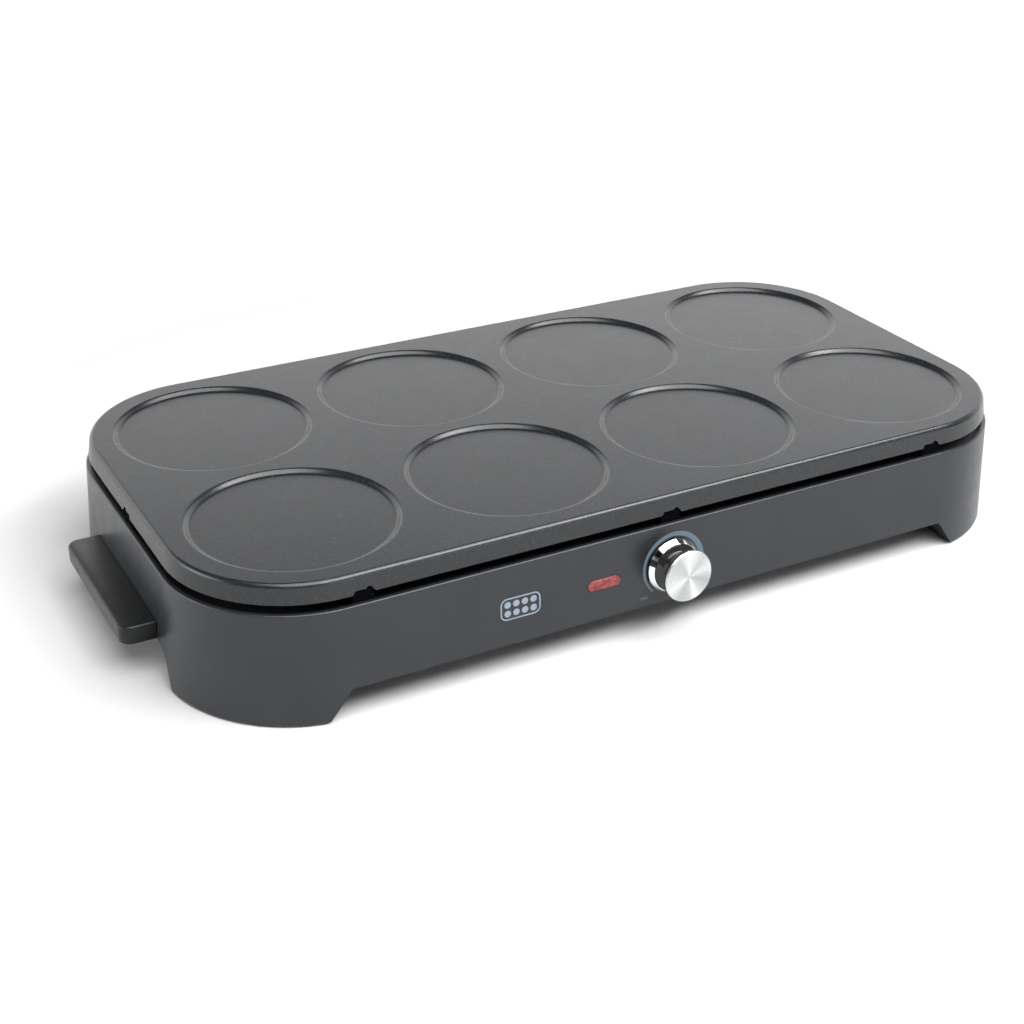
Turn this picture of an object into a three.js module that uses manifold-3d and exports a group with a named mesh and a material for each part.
// Electric griddle: a lift-off cast plate with eight round wells on a low heated base.
// Millimetres, +Z up, +X to the right, the control side faces -Y, the feet stand on Z = 0.

import * as THREE from 'three';
import { mergeVertices } from 'three/addons/utils/BufferGeometryUtils.js';
import Module from 'manifold-3d';

const wasm = await Module();
wasm.setup();

// ---------------------------------------------------------------- driving dimensions

const GAP = 0.3; // clearance between touching pieces

// cooking plate
const PLATE_HALF_X = 272.6; // outline at the foot of the rounded top edge
const PLATE_HALF_Y = 138.5;
const PLATE_CORNER = 72.6;
const PLATE_TOP = 83.7;
const PLATE_EDGE_ROUND = 2.6;
const SKIRT_BOTTOM = 72;
const SKIRT_FLARE = 1.4;
const SKIRT_THICK = 2.6;
const WEB_UNDERSIDE = 79.5;
const WELL_PITCH_X = 132.7;
const WELL_PITCH_Y = 130.3;
const WELL_RIM_RADIUS = 60;
const WELL_FLOOR_RADIUS = 56.5;
const WELL_DEPTH = 2.4;
const WELL_SIDE_RUN = 1.8; // the well's side is steepest this far out from its floor
const WELL_BOSS_DROP = 2.6; // the bosses stay clear of the notches' pins
const WELL_BOSS_RADIUS = 59;
const WELL_BOSS_ROOT = 62;

// notches in the skirt and the rests that stand in them
const NOTCH_BOTTOM_WIDTH = 13.4;
const NOTCH_TOP_WIDTH = 10.4;
const NOTCH_HEIGHT = 2.4;
const NOTCH_PIN_RADIUS = 2.2;
const NOTCH_PIN_OFFSET = 3;
const NOTCH_PIN_PLAY = 0.5;
const NOTCH_PIN_SUNK = 1.1; // the pin's middle lies this far below the notch's ceiling
const REST_X = 190;
const REST_THICK = 3.4;
const REST_PROUD = 0.4; // the rests stand this far out of the plate outline
const REST_FLANGE = 2;
const REST_FLANGE_HIGH = 3;

// housing
const RIM_Z = 67.1;
const RIM_OUTSET = 3.3; // beyond the plate outline
const LEG_Z = 1;
const WALL_FLARE = 4; // extra outset from rim to leg
const WALL = 2.6;
const RIM_ROUND = 1;
const FLOOR_UNDERSIDE = 18.5; // top of the wide arches in front and behind
const ARCH_HALF_X = 201;
const ARCH_SLOPE = 0.75;
const END_ARCH_TOP = 22.5; // finger arches below the handles
const END_ARCH_HALF_Y = 67.4;
const END_ARCH_SLOPE = 0.46;
const END_ARCH_ROUND = 9;
const END_ARCH_START_X = 215;
const ARCH_FOOT_Z = -5; // the arches' cutters reach down to here
const SOLE_THICK = 3.5;
const LEDGE_TOP = 61.7;
const LEDGE_DEEP = 3;
const LEDGE_WIDE = 5;

// underside cover
const SERVICE_HALF_X = 178;
const SERVICE_HALF_Y = 98;
const SERVICE_CORNER = 12;
const COVER_HALF_X = 193;
const COVER_HALF_Y = 113;
const COVER_CORNER = 14;
const COVER_THICK = 1.2;
const VENTS = 6;
const VENT_PITCH = 48;
const VENT_WIDTH = 4;
const VENT_LENGTH = 40;
const VENT_ROWS = [-60, 20];
const COVER_SCREWS = [[-185, -80], [-185, 80], [185, -80], [185, 80], [0, -105.5], [0, 105.5]];
const COVER_SCREW_HOLE = 2.3; // radius in the sheet
const COVER_BOSS_RADIUS = 4.5;
const COVER_BOSS_BORE = 2.1;
const COVER_BOSS_TOP = 29;
const COVER_BORE_TOP = 27.5;

// handles
const HANDLE_OUT_X = 298;
const HANDLE_HALF_Y = 55.5;
const HANDLE_TOP = 33.7;
const HANDLE_BOTTOM = 22.2;
const HANDLE_CORNER = 7;
const HANDLE_EDGE = 1.2; // rounding of the slab's long edges
const HANDLE_SCREW_Y = 34;
const HANDLE_SCREW_Z = 29.6;
const HANDLE_SCREW_HOLE = 2.4; // radius in the housing's wall
const HANDLE_BORE_RADIUS = 2.3;
const HANDLE_BORE_END = 291;

// feet
const FOOT_X = 234;
const FOOT_Y = 110;
const FOOT_RADIUS = 10;
const FOOT_SEAT_DEPTH = 2.5;
const FOOT_STUD_HOLE = 3.3;
const FOOT_STUD_TOP = 6;

// controls, on the tilted front wall; u runs right, v runs up, w runs into the base
const PANEL_Z = 40.7;
const LAMP_U = -45.7;
const LAMP_LENGTH = 21.4;
const LAMP_HEIGHT = 6.4;
const LENS_FLANGE = 4; // longer and higher than the window
const KNOB_FACE_OUT = 17.5;
const KNOB_CAP_RADIUS = 15.6;
const KNOB_RING_RADIUS = 16.9;
const KNOB_RING_BORE = 14.7;
const SHAFT_RADIUS = 3;
const SHAFT_HOLE_RADIUS = 5;
const PANEL_CUT = 9; // the cutters through the front wall reach this far each way
const BRACKET_HALF = 22;
const BRACKET_FACE = 2.9;
const BRACKET_SHEET = 1.2;
const BRACKET_HIGH = 18;
const THERMOSTAT_FACE = 4.4;
const THERMOSTAT_CASE = [30, 15, 24];
const THERMOSTAT_COLLAR = 8;
const LAMP_HOLDER_FACE = 4.6;
const LAMP_HOLDER_SIZE = [26, 12.4, 12.4];
const LAMP_LEAD_X = 6;

// heating
const TRAY_FLOOR = 52;
const TRAY_HALF_X = 255;
const TRAY_HALF_Y = 112;
const TRAY_CORNER = 56;
const TRAY_SHEET = 1;
const ELEMENT_Z = 65.5;
const ELEMENT_RADIUS = 3.25;
const ELEMENT_ROW = 32.6; // distance of the element rows from the middle of a row of wells
const ELEMENT_PIN_X = 22;
const ELEMENT_PIN_LOW = 44;
const ELEMENT_REACH = 198; // where the turns at the right end begin
const ELEMENT_END_X = 242;
const SUPPORT_X = [-130, 0, 130];
const SUPPORT_HALF_Y = 108;
const SUPPORT_SHEET = 1.2;
const SUPPORT_RISE = 2; // the strip's top edge above the element's middle

// supply
const INLET_X = 150;
const INLET_Z = 40;
const INLET_RADIUS = 7.3;
const BLOCK_X = 120;
const BLOCK_Y = 108;
const BLOCK_SIZE = [42, 16, 14];
const BLOCK_POLES = [-14, 0, 14];
const FUSE_PLACE = [-62, -96, 44];
const WIRE_RADIUS = 1.2;

const TILT = Math.atan(WALL_FLARE / (RIM_Z - LEG_Z));
const ARC_STEPS = 6; // each quarter round gets twice as many facets

// ---------------------------------------------------------------- materials

const finish = (color, roughness, metalness) =>
  new THREE.MeshStandardMaterial({ color, roughness, metalness });

const COATED = finish(0x55585b, 0.45, 0.3);
const SHELL = finish(0x3b3d40, 0.5, 0);
const GRIP = finish(0x26272a, 0.4, 0);
const RUBBER = finish(0x1b1b1c, 0.9, 0);
const ZINC = finish(0x9a9c9e, 0.4, 0.9);
const TRAY_METAL = finish(0xb9bbbc, 0.35, 0.9);
const SHEATH = finish(0x5a5048, 0.5, 0.6);
const BAKELITE = finish(0x2b2522, 0.6, 0);
const CHROME = finish(0xd9dcdc, 0.08, 1);
const SPUN = finish(0xc8cccc, 0.25, 1);
const RED_LENS = finish(0xa32c2c, 0.2, 0);
const GLASS = finish(0xdfe6e6, 0.05, 0);
const CERAMIC = finish(0xe6e0d2, 0.6, 0);
const SLEEVE = (color) => finish(color, 0.6, 0);

// ---------------------------------------------------------------- solids

// A closed geometry as a solid that can be joined and cut.
function solid(geometry) {
  const bare = geometry.clone();
  bare.deleteAttribute('normal');
  bare.deleteAttribute('uv');
  const merged = mergeVertices(bare, 1e-4);
  const vertProperties = new Float32Array(merged.attributes.position.array);
  const triVerts = new Uint32Array(merged.index.array);
  const mesh = new wasm.Mesh({ numProp: 3, vertProperties, triVerts });
  mesh.merge();
  return new wasm.Manifold(mesh);
}

// A solid back as a geometry for a mesh.
function skin(body) {
  const mesh = body.getMesh();
  const geometry = new THREE.BufferGeometry();
  geometry.setAttribute('position', new THREE.BufferAttribute(mesh.vertProperties, 3));
  geometry.setIndex(new THREE.BufferAttribute(mesh.triVerts, 1));
  geometry.computeVertexNormals();
  return geometry;
}

const union = (...bodies) => bodies.reduce((a, b) => a.add(b));
const cut = (body, ...tools) => tools.reduce((a, b) => a.subtract(b), body);

// A block with its lowest corner and its size given.
function block(x, y, z, sx, sy, sz) {
  return solid(new THREE.BoxGeometry(sx, sy, sz).translate(x + sx / 2, y + sy / 2, z + sz / 2));
}

function roundedRectangle(halfX, halfY, radius) {
  const shape = new THREE.Shape();
  const [cx, cy] = [halfX - radius, halfY - radius];
  shape.absarc(cx, cy, radius, 0, Math.PI / 2);
  shape.absarc(-cx, cy, radius, Math.PI / 2, Math.PI);
  shape.absarc(-cx, -cy, radius, Math.PI, 1.5 * Math.PI);
  shape.absarc(cx, -cy, radius, 1.5 * Math.PI, 2 * Math.PI);
  return shape;
}

// A rounded rectangle that grows or shrinks through its height: levels are [z, outset].
function flared(halfX, halfY, radius, levels, arcSteps = ARC_STEPS) {
  const steps = levels.length - 1;
  const geometry = new THREE.ExtrudeGeometry(roundedRectangle(halfX, halfY, radius), {
    depth: steps,
    steps,
    bevelEnabled: false,
    curveSegments: arcSteps,
  });
  const spot = geometry.attributes.position;
  for (let i = 0; i < spot.count; i += 1) {
    const [z, outset] = levels[Math.round(spot.getZ(i))];
    const cx = Math.sign(spot.getX(i)) * (halfX - radius);
    const cy = Math.sign(spot.getY(i)) * (halfY - radius);
    const grow = (radius + outset) / radius;
    spot.setXYZ(i, cx + (spot.getX(i) - cx) * grow, cy + (spot.getY(i) - cy) * grow, z);
  }
  return solid(geometry);
}

// A flat outline in X and Z pushed through the depth Y.
function alongY(outline, fromY, toY, curveSegments = 4) {
  const geometry = new THREE.ExtrudeGeometry(outline, {
    depth: toY - fromY,
    bevelEnabled: false,
    curveSegments,
  });
  return solid(geometry.rotateX(Math.PI / 2).translate(0, toY, 0));
}

// A flat outline in Y and Z pushed through the width X.
function alongX(outline, fromX, toX, curveSegments = 4) {
  const geometry = new THREE.ExtrudeGeometry(outline, {
    depth: toX - fromX,
    bevelEnabled: false,
    curveSegments,
  });
  return solid(geometry.rotateX(Math.PI / 2).rotateZ(Math.PI / 2).translate(fromX, 0, 0));
}

// A turned piece about the Y axis, from [radius, y] points that close on the axis or on themselves.
function turned(points, segments = 24) {
  const profile = points.map(([r, y]) => new THREE.Vector2(r, y));
  if (THREE.ShapeUtils.area(profile) < 0) profile.reverse();
  return new THREE.LatheGeometry(profile, segments);
}

// The same with its axis upright.
function turnedUp(points, segments = 24) {
  return turned(points, segments).rotateX(Math.PI / 2);
}

// A round rod between two heights, or between two depths when it lies along Y.
const rodUp = (r, z0, z1, n = 16) => solid(turnedUp([[0, z0], [r, z0], [r, z1], [0, z1]], n));
const rodY = (r, y0, y1, n = 16) => solid(turned([[0, y0], [r, y0], [r, y1], [0, y1]], n));

function stadium(length, height) {
  const shape = new THREE.Shape();
  const reach = (length - height) / 2;
  shape.absarc(reach, 0, height / 2, -Math.PI / 2, Math.PI / 2);
  shape.absarc(-reach, 0, height / 2, Math.PI / 2, 1.5 * Math.PI);
  return shape;
}

function polygon(points) {
  return new THREE.Shape(points.map(([x, y]) => new THREE.Vector2(x, y)));
}

// A route through given points, taken exactly, with the direction averaged at each of them.
class Route extends THREE.Curve {
  constructor(points) {
    super();
    this.points = points;
  }

  getPoint(t, target = new THREE.Vector3()) {
    const place = t * (this.points.length - 1);
    const i = Math.min(Math.floor(place + 1e-9), this.points.length - 2);
    return target.copy(this.points[i]).lerp(this.points[i + 1], place - i);
  }

  getPointAt(u, target) {
    return this.getPoint(u, target);
  }

  getTangentAt(u, target = new THREE.Vector3()) {
    const i = Math.round(u * (this.points.length - 1));
    const before = this.points[Math.max(i - 1, 0)];
    const after = this.points[Math.min(i + 1, this.points.length - 1)];
    const here = this.points[i];
    const arriving = here.clone().sub(before).normalize();
    const leaving = after.clone().sub(here).normalize();
    return target.copy(arriving).add(leaving).normalize();
  }
}

// Rounds the corners of a path with arcs of the given number of steps.
function rounded(corners, radius, steps) {
  const path = [corners[0]];
  for (let i = 1; i < corners.length - 1; i += 1) {
    const here = corners[i];
    const back = corners[i - 1].clone().sub(here);
    const on = corners[i + 1].clone().sub(here);
    const reach = Math.min(radius, back.length() / 2, on.length() / 2);
    const from = here.clone().add(back.setLength(reach));
    const to = here.clone().add(on.setLength(reach));
    const bend = new THREE.QuadraticBezierCurve3(from, here, to);
    path.push(...bend.getPoints(steps));
  }
  path.push(corners[corners.length - 1]);
  return path;
}

// A round rod that follows a list of points.
function rodAlong(points, radius, sides = 8) {
  const section = new THREE.Shape();
  section.absarc(0, 0, radius, 0, 2 * Math.PI);
  return new THREE.ExtrudeGeometry(section, {
    extrudePath: new Route(points),
    steps: points.length - 1,
    curveSegments: sides / 2,
    bevelEnabled: false,
  });
}

const at = (x, y, z) => new THREE.Vector3(x, y, z);

// ---------------------------------------------------------------- assembly helpers

const griddle = new THREE.Group();
griddle.name = 'electric_griddle';

// The controls share one group that leans with the front wall.
const panelY = -(PLATE_HALF_Y + RIM_OUTSET + (RIM_Z - PANEL_Z) * Math.tan(TILT));
const panel = new THREE.Group();
panel.position.set(0, panelY, PANEL_Z);
panel.rotation.x = -TILT;
griddle.add(panel);

function place(name, shape, material, parent = griddle) {
  const geometry = shape instanceof THREE.BufferGeometry ? shape : skin(shape);
  const mesh = new THREE.Mesh(geometry, material);
  mesh.name = name;
  parent.add(mesh);
  return mesh;
}

// The four corners of a rectangle, with a name for each.
const CORNERS = [
  ['front_left', -1, -1],
  ['front_right', 1, -1],
  ['rear_left', -1, 1],
  ['rear_right', 1, 1],
];

// Outset of the housing's outer face at a height.
const wallOutset = (z) => RIM_OUTSET + (RIM_Z - z) * Math.tan(TILT);

// ---------------------------------------------------------------- cooking plate

const WELLS = [];
for (const row of [-0.5, 0.5]) {
  for (const column of [-1.5, -0.5, 0.5, 1.5]) {
    WELLS.push([column * WELL_PITCH_X, row * WELL_PITCH_Y]);
  }
}

// The top of a locating pin, or of its seat, that stands above a ceiling line.
function pinArc(shape, radius, ceiling) {
  const low = Math.asin(NOTCH_PIN_SUNK / radius);
  shape.absarc(NOTCH_PIN_OFFSET, ceiling - NOTCH_PIN_SUNK, radius, low, Math.PI - low);
}

// One notch, its opening downwards, in its own flat outline.
function notchOutline() {
  const [low, high] = [NOTCH_BOTTOM_WIDTH / 2, NOTCH_TOP_WIDTH / 2];
  const ceiling = SKIRT_BOTTOM + NOTCH_HEIGHT;
  const shape = new THREE.Shape();
  shape.moveTo(-low, SKIRT_BOTTOM - 1);
  shape.lineTo(low, SKIRT_BOTTOM - 1);
  shape.lineTo(low, SKIRT_BOTTOM);
  pinArc(shape, NOTCH_PIN_RADIUS, ceiling);
  shape.lineTo(-high, ceiling);
  shape.lineTo(-low, SKIRT_BOTTOM);
  return shape;
}

// One rest: a post with a shouldered head and a locating pin.
function restOutline() {
  const [low, high] = [NOTCH_BOTTOM_WIDTH, NOTCH_TOP_WIDTH].map((w) => w / 2 - NOTCH_PIN_PLAY);
  const ceiling = SKIRT_BOTTOM + NOTCH_HEIGHT - GAP;
  const foot = LEDGE_TOP + GAP + TRAY_SHEET + GAP;
  const shape = new THREE.Shape();
  shape.moveTo(-low - REST_FLANGE, foot);
  shape.lineTo(low + REST_FLANGE, foot);
  shape.lineTo(low, foot + REST_FLANGE_HIGH);
  shape.lineTo(low, SKIRT_BOTTOM);
  pinArc(shape, NOTCH_PIN_RADIUS - NOTCH_PIN_PLAY, ceiling);
  shape.lineTo(-high, ceiling);
  shape.lineTo(-low, SKIRT_BOTTOM);
  shape.lineTo(-low, foot + REST_FLANGE_HIGH);
  return shape;
}

function cookingPlate() {
  const edge = [];
  for (let i = 0; i <= 3; i += 1) {
    const a = (i / 3) * (Math.PI / 2);
    edge.push([
      PLATE_TOP - PLATE_EDGE_ROUND * (1 - Math.sin(a)),
      -PLATE_EDGE_ROUND * (1 - Math.cos(a)),
    ]);
  }
  const outer = flared(PLATE_HALF_X, PLATE_HALF_Y, PLATE_CORNER,
    [[SKIRT_BOTTOM, SKIRT_FLARE], ...edge]);
  const inner = flared(PLATE_HALF_X, PLATE_HALF_Y, PLATE_CORNER,
    [[SKIRT_BOTTOM - 1, SKIRT_FLARE - SKIRT_THICK], [WEB_UNDERSIDE, -SKIRT_THICK - 1]]);
  const bossLow = WEB_UNDERSIDE - WELL_BOSS_DROP;
  const boss = turnedUp([[0, bossLow], [WELL_BOSS_RADIUS, bossLow],
    [WELL_BOSS_ROOT, WEB_UNDERSIDE + 1], [0, WEB_UNDERSIDE + 1]], 24);
  const well = turnedUp([[0, PLATE_TOP - WELL_DEPTH], [WELL_FLOOR_RADIUS, PLATE_TOP - WELL_DEPTH],
    [WELL_FLOOR_RADIUS + WELL_SIDE_RUN, PLATE_TOP - 0.6 * WELL_DEPTH],
    [WELL_RIM_RADIUS, PLATE_TOP],
    [WELL_RIM_RADIUS, PLATE_TOP + 1], [0, PLATE_TOP + 1]], 36);
  let plate = outer.subtract(inner);
  for (const [x, y] of WELLS) {
    plate = plate.add(solid(boss.clone().translate(x, y, 0)));
  }
  for (const [x, y] of WELLS) {
    plate = plate.subtract(solid(well.clone().translate(x, y, 0)));
  }
  const across = PLATE_HALF_Y + 10;
  const along = PLATE_HALF_X + 10;
  const frontNotch = alongY(notchOutline(), -across, across, 3);
  for (const x of [-REST_X, 0, REST_X]) {
    plate = plate.subtract(frontNotch.translate(x, 0, 0));
  }
  return plate.subtract(alongX(notchOutline(), -along, along, 3));
}

place('cooking_plate', cookingPlate(), COATED);

// ---------------------------------------------------------------- plate rests

const REST_BACK = PLATE_HALF_Y + REST_PROUD;
const REST_END = PLATE_HALF_X + REST_PROUD;

const restAcross = alongY(restOutline(), 0, REST_THICK, 3);
const restAlong = alongX(restOutline(), 0, REST_THICK, 3);
for (const [label, x] of [['left', -REST_X], ['middle', 0], ['right', REST_X]]) {
  place(`plate_rest_front_${label}`, restAcross.translate(x, -REST_BACK, 0), BAKELITE);
  place(`plate_rest_rear_${label}`, restAcross.translate(x, REST_BACK - REST_THICK, 0), BAKELITE);
}
place('plate_rest_end_left', restAlong.translate(-REST_END, 0, 0), BAKELITE);
place('plate_rest_end_right', restAlong.translate(REST_END - REST_THICK, 0, 0), BAKELITE);

// ---------------------------------------------------------------- housing

// The space below the floor, open to front and back; grow moves its faces into the housing.
function wideArch(grow) {
  const top = FLOOR_UNDERSIDE + grow;
  const reach = ARCH_HALF_X + grow;
  const foot = reach + (top - ARCH_FOOT_Z) * ARCH_SLOPE;
  const outline = [[-reach, top], [-foot, ARCH_FOOT_Z], [foot, ARCH_FOOT_Z], [reach, top]];
  return alongY(polygon(outline), -PLATE_HALF_X, PLATE_HALF_X);
}

// The finger space below one handle; side is -1 or 1.
function endArch(side, grow) {
  const top = END_ARCH_TOP + grow;
  const reach = END_ARCH_HALF_Y + grow;
  const foot = reach + (top - ARCH_FOOT_Z) * END_ARCH_SLOPE;
  const lean = Math.atan(END_ARCH_SLOPE);
  const r = END_ARCH_ROUND;
  const inset = r * Math.tan((Math.PI / 2 - lean) / 2);
  const shape = new THREE.Shape();
  shape.moveTo(-foot, ARCH_FOOT_Z);
  shape.lineTo(foot, ARCH_FOOT_Z);
  shape.absarc(reach - inset, top - r, r, lean, Math.PI / 2);
  shape.absarc(-reach + inset, top - r, r, Math.PI / 2, Math.PI - lean);
  const [near, far] = [END_ARCH_START_X - grow, PLATE_HALF_X + 40];
  return side > 0 ? alongX(shape, near, far) : alongX(shape, -far, -near);
}

function housing() {
  const rim = [];
  for (let i = 0; i <= 2; i += 1) {
    const a = (i / 2) * (Math.PI / 2);
    rim.push([RIM_Z - RIM_ROUND * (1 - Math.sin(a)), RIM_OUTSET - RIM_ROUND * (1 - Math.cos(a))]);
  }
  const outline = [PLATE_HALF_X, PLATE_HALF_Y, PLATE_CORNER];
  const outer = flared(...outline, [[LEG_Z, wallOutset(LEG_Z)], ...rim]);
  const sole = LEG_Z + SOLE_THICK;
  const room = flared(...outline,
    [[sole, wallOutset(sole) - WALL], [RIM_Z + 1, RIM_OUTSET - WALL]]);
  const hollow = cut(room, wideArch(WALL), endArch(-1, WALL), endArch(1, WALL));
  const ledgeRing = flared(...outline,
    [[LEDGE_TOP - LEDGE_DEEP, wallOutset(LEDGE_TOP) - WALL / 2],
      [LEDGE_TOP, wallOutset(LEDGE_TOP) - WALL / 2]])
    .subtract(flared(...outline, [[LEDGE_TOP - LEDGE_DEEP - 2, 2 - WALL],
      [LEDGE_TOP + 1, 1 - WALL - LEDGE_WIDE]]));
  const service = flared(SERVICE_HALF_X, SERVICE_HALF_Y, SERVICE_CORNER,
    [[FLOOR_UNDERSIDE - 8.5, 0], [COVER_BOSS_TOP + 1, 0]], 2);
  let body = cut(outer, wideArch(0), endArch(-1, 0), endArch(1, 0), hollow);
  body = body.add(ledgeRing).subtract(service);
  for (const [x, y] of COVER_SCREWS) {
    const boss = rodUp(COVER_BOSS_RADIUS, FLOOR_UNDERSIDE, COVER_BOSS_TOP, 12);
    const bore = rodUp(COVER_BOSS_BORE, FLOOR_UNDERSIDE - 1, COVER_BORE_TOP, 12);
    body = body.add(boss.translate(x, y, 0)).subtract(bore.translate(x, y, 0));
  }
  for (const [, sx, sy] of CORNERS) {
    const spot = [sx * FOOT_X, sy * FOOT_Y, 0];
    body = body.subtract(rodUp(FOOT_RADIUS + GAP, 0, FOOT_SEAT_DEPTH, 20).translate(...spot));
    body = body.subtract(rodUp(FOOT_STUD_HOLE, 0, FOOT_STUD_TOP, 12).translate(...spot));
  }
  for (const y of [-HANDLE_SCREW_Y, HANDLE_SCREW_Y]) {
    const hole = solid(turned([[0, -320], [HANDLE_SCREW_HOLE, -320], [HANDLE_SCREW_HOLE, 320],
      [0, 320]], 12).rotateZ(Math.PI / 2).translate(0, y, HANDLE_SCREW_Z));
    body = body.subtract(hole);
  }
  const inlet = rodY(INLET_RADIUS, 100, 200, 20).translate(INLET_X, 0, INLET_Z);
  const lens = alongY(stadium(LAMP_LENGTH + 2 * GAP, LAMP_HEIGHT + 2 * GAP), -PANEL_CUT, PANEL_CUT);
  const shaftHole = rodY(SHAFT_HOLE_RADIUS, -PANEL_CUT, PANEL_CUT, 20);
  const lean = (tool) => tool.rotate([-THREE.MathUtils.radToDeg(TILT), 0, 0])
    .translate(0, panelY, PANEL_Z);
  return cut(body, inlet, lean(lens.translate(LAMP_U, 0, 0)), lean(shaftHole));
}

place('housing', housing(), SHELL);

// ---------------------------------------------------------------- underside cover and feet

function bottomCover() {
  const top = FLOOR_UNDERSIDE - GAP;
  let sheet = flared(COVER_HALF_X, COVER_HALF_Y, COVER_CORNER,
    [[top - COVER_THICK, 0], [top, 0]], 2);
  for (const [x, y] of COVER_SCREWS) {
    sheet = sheet.subtract(rodUp(COVER_SCREW_HOLE, 10, 30, 12).translate(x, y, 0));
  }
  for (let i = 0; i < VENTS; i += 1) {
    for (const y of VENT_ROWS) {
      const x = (i - (VENTS - 1) / 2) * VENT_PITCH - VENT_WIDTH / 2;
      sheet = sheet.subtract(block(x, y, 10, VENT_WIDTH, VENT_LENGTH, 20));
    }
  }
  return sheet;
}

place('bottom_cover', bottomCover(), ZINC);

const coverScrew = turnedUp([[0, 15.2], [2.6, 15.2], [3.6, 15.8], [3.6, 16.7], [1.75, 16.7],
  [1.75, 26.5], [0, 27.2]], 12);
COVER_SCREWS.forEach(([x, y], i) => {
  place(`cover_screw_${i + 1}`, coverScrew, ZINC).position.set(x, y, 0);
});

const foot = turnedUp([[0, 0], [FOOT_RADIUS - 0.8, 0], [FOOT_RADIUS, 0.6], [FOOT_RADIUS, 2.2],
  [3, 2.2], [3, 4.6], [2.9, 6], [0, 6.8]], 16);
for (const [corner, sx, sy] of CORNERS) {
  place(`foot_${corner}`, foot, RUBBER).position.set(sx * FOOT_X, sy * FOOT_Y, 0);
}

// ---------------------------------------------------------------- handles

// A slab with rounded outer corners, cut to the leaning end wall.
function handle(side) {
  const shape = roundedRectangle(HANDLE_OUT_X, HANDLE_HALF_Y, HANDLE_CORNER);
  const slab = solid(new THREE.ExtrudeGeometry(shape, {
    depth: HANDLE_TOP - HANDLE_BOTTOM - 2 * HANDLE_EDGE,
    bevelThickness: HANDLE_EDGE,
    bevelSize: HANDLE_EDGE,
    bevelOffset: -HANDLE_EDGE,
    bevelSegments: 2,
    curveSegments: 3,
  }).translate(0, 0, HANDLE_BOTTOM + HANDLE_EDGE));
  const wall = flared(PLATE_HALF_X, PLATE_HALF_Y, PLATE_CORNER,
    [[LEG_Z, wallOutset(LEG_Z) + GAP], [RIM_Z, wallOutset(RIM_Z) + GAP]]);
  const half = block(side > 0 ? 0 : -400, -100, 0, 400, 200, 90);
  let body = slab.subtract(wall).intersect(half);
  for (const y of [-HANDLE_SCREW_Y, HANDLE_SCREW_Y]) {
    const bore = solid(turned([[0, 0], [HANDLE_BORE_RADIUS, 0],
      [HANDLE_BORE_RADIUS, HANDLE_BORE_END], [0, HANDLE_BORE_END]], 12)
      .rotateZ(-side * Math.PI / 2).translate(0, y, HANDLE_SCREW_Z));
    body = body.subtract(bore);
  }
  return body;
}

const handleScrew = turned([[0, 270.8], [2.4, 270.8], [3.8, 271.4], [3.8, 273.2], [2, 273.2],
  [2, 289.6], [0, 290.4]], 12);
for (const [label, side] of [['left', -1], ['right', 1]]) {
  place(`handle_${label}`, handle(side), GRIP);
  for (const [end, sy] of [['front', -1], ['rear', 1]]) {
    const screw = place(`handle_${label}_screw_${end}`, handleScrew, ZINC);
    screw.position.set(0, sy * HANDLE_SCREW_Y, HANDLE_SCREW_Z);
    screw.rotation.z = -side * Math.PI / 2;
  }
}

// ---------------------------------------------------------------- knob and thermostat

place('knob_ring', turned([[KNOB_RING_BORE, -0.9], [KNOB_RING_RADIUS, -0.9],
  [KNOB_RING_RADIUS, -1.5], [KNOB_RING_BORE + 0.2, -4.4], [KNOB_RING_BORE, -4.4],
  [KNOB_RING_BORE, -0.9]], 30), CHROME, panel);

place('knob_body', turned([[0, -12.8], [SHAFT_RADIUS + GAP, -12.8], [SHAFT_RADIUS + GAP, -0.9],
  [14.4, -0.9], [14.4, -4.6], [13.4, -5.3], [11.4, -6.6], [10.1, -8.6], [9.6, -11],
  [10, -12.9], [11.4, -13.9], [0, -13.9]], 24), GRIP, panel);

place('knob_cap', turned([[0, -KNOB_FACE_OUT], [KNOB_CAP_RADIUS - 0.7, -KNOB_FACE_OUT],
  [KNOB_CAP_RADIUS, -KNOB_FACE_OUT + 0.7], [KNOB_CAP_RADIUS - 0.2, -14.7],
  [KNOB_CAP_RADIUS - 0.7, -14.2], [0, -14.2]], 30), SPUN, panel);

place('thermostat_shaft', turned([[0, -12.4], [SHAFT_RADIUS, -12.4], [SHAFT_RADIUS, 12],
  [0, 12]], 16), ZINC, panel);

function thermostatBracket() {
  const low = -BRACKET_HIGH / 2;
  const sheet = block(-BRACKET_HALF, BRACKET_FACE, low, 2 * BRACKET_HALF, BRACKET_SHEET, BRACKET_HIGH);
  const foldedEar = (x) => block(x, BRACKET_FACE, low, BRACKET_SHEET, 9, BRACKET_HIGH);
  return cut(union(sheet, foldedEar(-BRACKET_HALF), foldedEar(BRACKET_HALF - BRACKET_SHEET)),
    rodY(SHAFT_HOLE_RADIUS, 0, 9, 20));
}

place('thermostat_bracket', thermostatBracket(), ZINC, panel);

function thermostatBody() {
  const [wide, , high] = THERMOSTAT_CASE;
  const caseBlock = block(-wide / 2, THERMOSTAT_FACE, -high / 2, ...THERMOSTAT_CASE);
  const collar = rodY(THERMOSTAT_COLLAR, THERMOSTAT_FACE, 21, 20);
  const tabs = [-9, 5].map((x) => block(x, 19, -8, 4, 6.5, 0.8));
  return cut(union(caseBlock, collar, ...tabs), rodY(SHAFT_RADIUS + GAP, 0, 12.6, 16));
}

place('thermostat_body', thermostatBody(), BAKELITE, panel);

// ---------------------------------------------------------------- indicator lamp

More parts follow.
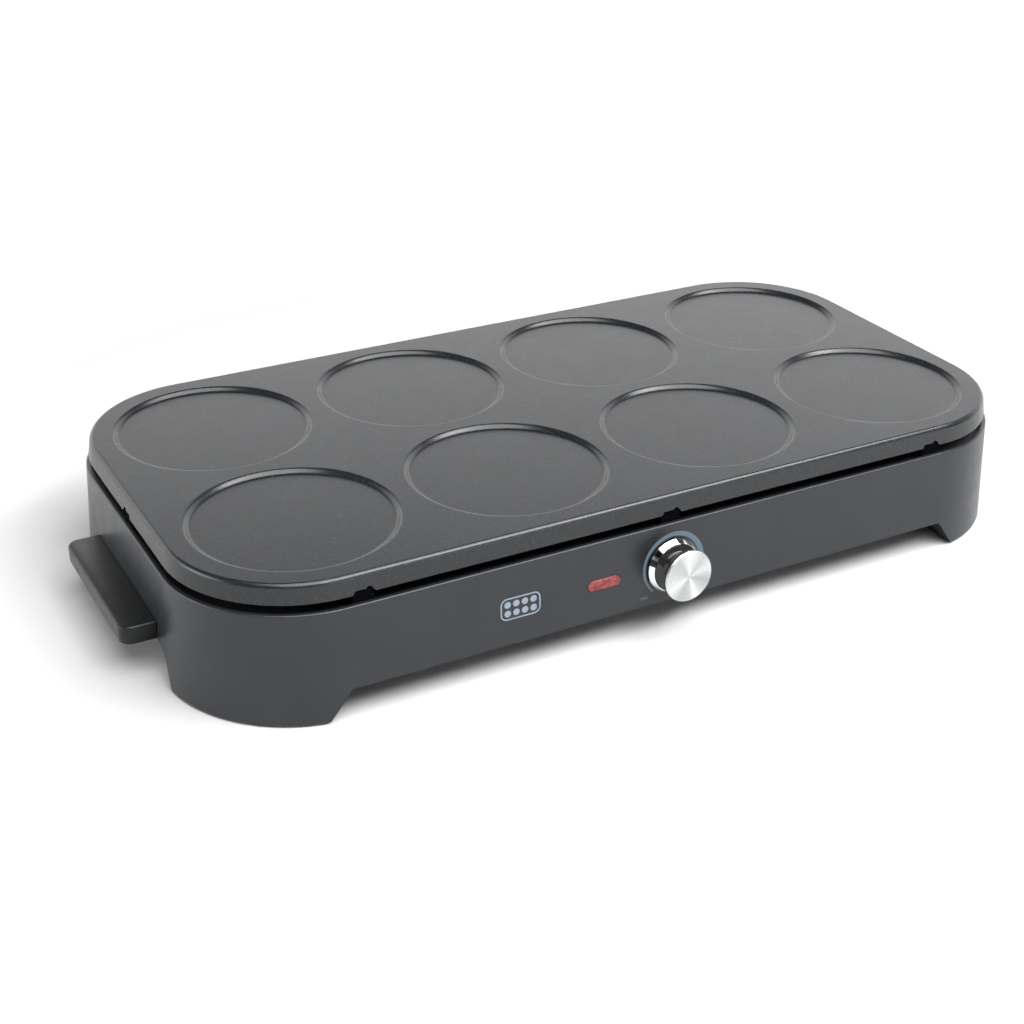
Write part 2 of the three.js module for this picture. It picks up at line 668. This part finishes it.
function lampLens() {
  const window = alongY(stadium(LAMP_LENGTH, LAMP_HEIGHT), -0.5, 3.2, 6);
  const flange = alongY(stadium(LAMP_LENGTH + LENS_FLANGE, LAMP_HEIGHT + LENS_FLANGE),
    2.95, 4.2, 4);
  return union(window, flange).translate(LAMP_U, 0, 0);
}

place('lamp_lens', lampLens(), RED_LENS, panel);

function lampHolder() {
  const [wide, , high] = LAMP_HOLDER_SIZE;
  const frame = block(-wide / 2, LAMP_HOLDER_FACE, -high / 2, ...LAMP_HOLDER_SIZE);
  const pocket = block(-9.6, 4, -3.4, 19.2, 10.6, 6.8);
  const leads = [-LAMP_LEAD_X, LAMP_LEAD_X].map((x) => rodY(0.9, 12, 20, 8).translate(x, 0, 0));
  return cut(frame, pocket, ...leads).translate(LAMP_U, 0, 0);
}

place('lamp_holder', lampHolder(), BAKELITE, panel);

const bulb = turned([[0, -8], [1.8, -7.6], [2.6, -6.4], [2.6, 5], [1.4, 7.4], [0, 8]], 16);
const neon = place('neon_lamp', bulb, GLASS, panel);
neon.position.set(LAMP_U, 9, 0);
neon.rotation.z = Math.PI / 2;

// ---------------------------------------------------------------- reflector tray

function reflectorTray() {
  const outline = [TRAY_HALF_X, TRAY_HALF_Y, TRAY_CORNER];
  const lip = LEDGE_TOP + GAP;
  const pan = flared(...outline, [[TRAY_FLOOR, 0], [lip + TRAY_SHEET, 4]], 4);
  const inside = flared(...outline,
    [[TRAY_FLOOR + TRAY_SHEET, -TRAY_SHEET], [lip + TRAY_SHEET + 0.5, 3]], 4);
  const flange = flared(PLATE_HALF_X, PLATE_HALF_Y, PLATE_CORNER,
    [[lip, 0.5], [lip + TRAY_SHEET, 0.5]]);
  const pinHoles = [-1, 1].map((s) => rodUp(5, 40, 60, 12)
    .translate(s * ELEMENT_PIN_X, -WELL_PITCH_Y / 2 - ELEMENT_ROW, 0));
  return cut(union(flange, pan), inside, ...pinHoles);
}

place('reflector_tray', reflectorTray(), TRAY_METAL);

// ---------------------------------------------------------------- heating element

// Half a turn of the element from one row to the next, in equal steps.
function turn(x, y, radius, side, z) {
  const points = [];
  for (let i = 0; i <= 8; i += 1) {
    const a = (i / 8) * Math.PI;
    points.push(at(x + side * radius * Math.sin(a), y - radius * Math.cos(a), z));
  }
  return points;
}

function elementRoute() {
  const front = -WELL_PITCH_Y / 2 - ELEMENT_ROW;
  const frontIn = -WELL_PITCH_Y / 2 + ELEMENT_ROW;
  const z = ELEMENT_Z;
  const reach = ELEMENT_REACH;
  const outer = ELEMENT_END_X;
  const dip = at(ELEMENT_PIN_X, front, ELEMENT_PIN_LOW);
  const rise = rounded([dip, at(ELEMENT_PIN_X, front, z), at(80, front, z)], 12, 4).slice(0, -1);
  const home = rounded([at(-reach + 40, -front, z), at(-outer, -front, z), at(-outer, front, z),
    at(-80, front, z)], 46, 5);
  const fall = rounded([at(-80, front, z), at(-ELEMENT_PIN_X, front, z),
    at(-ELEMENT_PIN_X, front, ELEMENT_PIN_LOW)], 12, 4).slice(1);
  return [
    ...rise,
    ...turn(reach, (front + frontIn) / 2, ELEMENT_ROW, 1, z),
    ...turn(-reach + 10, 0, -frontIn, -1, z),
    ...turn(reach, -(front + frontIn) / 2, ELEMENT_ROW, 1, z),
    ...home,
    ...fall,
  ];
}

place('heating_element', rodAlong(elementRoute(), ELEMENT_RADIUS), SHEATH);

// Strips on edge that carry the element rows in open notches.
function elementSupport() {
  const low = TRAY_FLOOR + TRAY_SHEET + GAP;
  const rows = [-1, 1].flatMap((s) => [-ELEMENT_ROW, ELEMENT_ROW]
    .map((d) => s * WELL_PITCH_Y / 2 + d)).sort((a, b) => a - b);
  const r = ELEMENT_RADIUS + 0.35;
  const top = ELEMENT_Z + SUPPORT_RISE;
  const shape = new THREE.Shape();
  shape.moveTo(-SUPPORT_HALF_Y, low);
  shape.lineTo(SUPPORT_HALF_Y, low);
  shape.lineTo(SUPPORT_HALF_Y, top);
  for (const y of rows.reverse()) {
    shape.lineTo(y + r, top);
    shape.absarc(y, ELEMENT_Z, r, 0, Math.PI, true);
    shape.lineTo(y - r, top);
  }
  shape.lineTo(-SUPPORT_HALF_Y, top);
  return alongX(shape, -SUPPORT_SHEET / 2, SUPPORT_SHEET / 2, 4);
}

SUPPORT_X.forEach((x, i) => {
  place(`element_support_${i + 1}`, elementSupport(), ZINC).position.set(x, 0, 0);
});

// ---------------------------------------------------------------- supply side

function cableGland() {
  const y = PLATE_HALF_Y + wallOutset(INLET_Z);
  const ring = [[3.8, y - 9], [6.9, y - 9], [6.9, y + 0.75], [9.2, y + 0.75], [8.6, y + 2.2],
    [4.6, y + 2.2], [3.8, y + 1.4], [3.8, y - 9]];
  return turned(ring, 24).translate(INLET_X, 0, INLET_Z);
}

place('cable_gland', cableGland(), RUBBER);

const FLOOR_TOP = FLOOR_UNDERSIDE + WALL;

function terminalBlock() {
  const low = FLOOR_TOP + GAP;
  const [wide, deep] = BLOCK_SIZE;
  let body = block(BLOCK_X - wide / 2, BLOCK_Y - deep / 2, low, ...BLOCK_SIZE);
  for (const x of BLOCK_POLES) {
    body = body.subtract(rodUp(2.6, low + 8, low + 20, 12).translate(BLOCK_X + x, BLOCK_Y, 0));
    body = body.subtract(rodY(2.2, -30, 30, 12).translate(BLOCK_X + x, BLOCK_Y, low + 5));
  }
  return body;
}

place('terminal_block', terminalBlock(), CERAMIC);

place('thermal_fuse', solid(turned([[0, -13], [1.2, -13], [1.2, -9], [3.2, -8], [3.2, 8],
  [1.2, 9], [1.2, 13], [0, 13]], 16).rotateZ(Math.PI / 2).translate(...FUSE_PLACE)), CERAMIC);

place('earth_tag', union(block(-96, 60, TRAY_FLOOR - 1.3, 12, 20, 1),
  rodUp(3, TRAY_FLOOR - 4, TRAY_FLOOR - 1, 12).translate(-90, 74, 0)), ZINC);

// The wires, each from end to end along its own run above the floor.
const bodyBack = panelY + 24;
const WIRES = {
  wire_live: ['#7a4a2a', [at(106, 98, 26.8), at(100, 60, 26), at(70, -20, 26), at(24, -80, 30),
    at(7, -104, 34), at(7, bodyBack + 3.2, 34.6)]],
  wire_neutral: ['#3a62a8', [at(120, 98, 26.8), at(118, 50, 24.6), at(90, -40, 24.6),
    at(46, -82, 32), at(24, -93, 36), at(22, -97.9, 42.8)]],
  wire_fuse: ['#a8342c', [at(-7, bodyBack + 3.2, 34.6), at(-10, -108, 34), at(-24, -100, 38),
    at(-40, -96, 44), at(-47.6, -96, 44)]],
  wire_heater: ['#a8342c', [at(-76.4, -96, 44), at(-84, -94, 42), at(-80, -84, 34),
    at(-50, -80, 31), at(-26, -92, 36), at(-22, -97.9, 42.8)]],
  wire_earth: ['#5f8c3a', [at(134, 98, 26.8), at(128, 70, 29), at(60, 50, 32),
    at(-50, 50, 36), at(-84, 56, 44), at(-90, 58, 49.6)]],
  wire_lamp_live: ['#c9c4b8', [at(LAMP_U + LAMP_LEAD_X, bodyBack - 3, 39), at(LAMP_U + 7, -112, 36),
    at(-24, -110, 37), at(-15, -112, 41), at(-11, bodyBack + 1, 42.5)]],
  wire_lamp_neutral: ['#c9c4b8', [at(LAMP_U - LAMP_LEAD_X, bodyBack - 3, 39),
    at(LAMP_U - 4, -108, 33), at(-30, -88, 26), at(30, -40, 24.6), at(100, 60, 23.4), at(110, 98, 24.4)]],
};
for (const [name, [color, points]] of Object.entries(WIRES)) {
  const run = new THREE.CatmullRomCurve3(points, false, 'centripetal').getSpacedPoints(14);
  place(name, rodAlong(run, WIRE_RADIUS), SLEEVE(color));
}

// ---------------------------------------------------------------- centre the whole on the origin

const extent = new THREE.Box3().setFromObject(griddle);
griddle.position.y = -(extent.min.y + extent.max.y) / 2;

export default griddle;
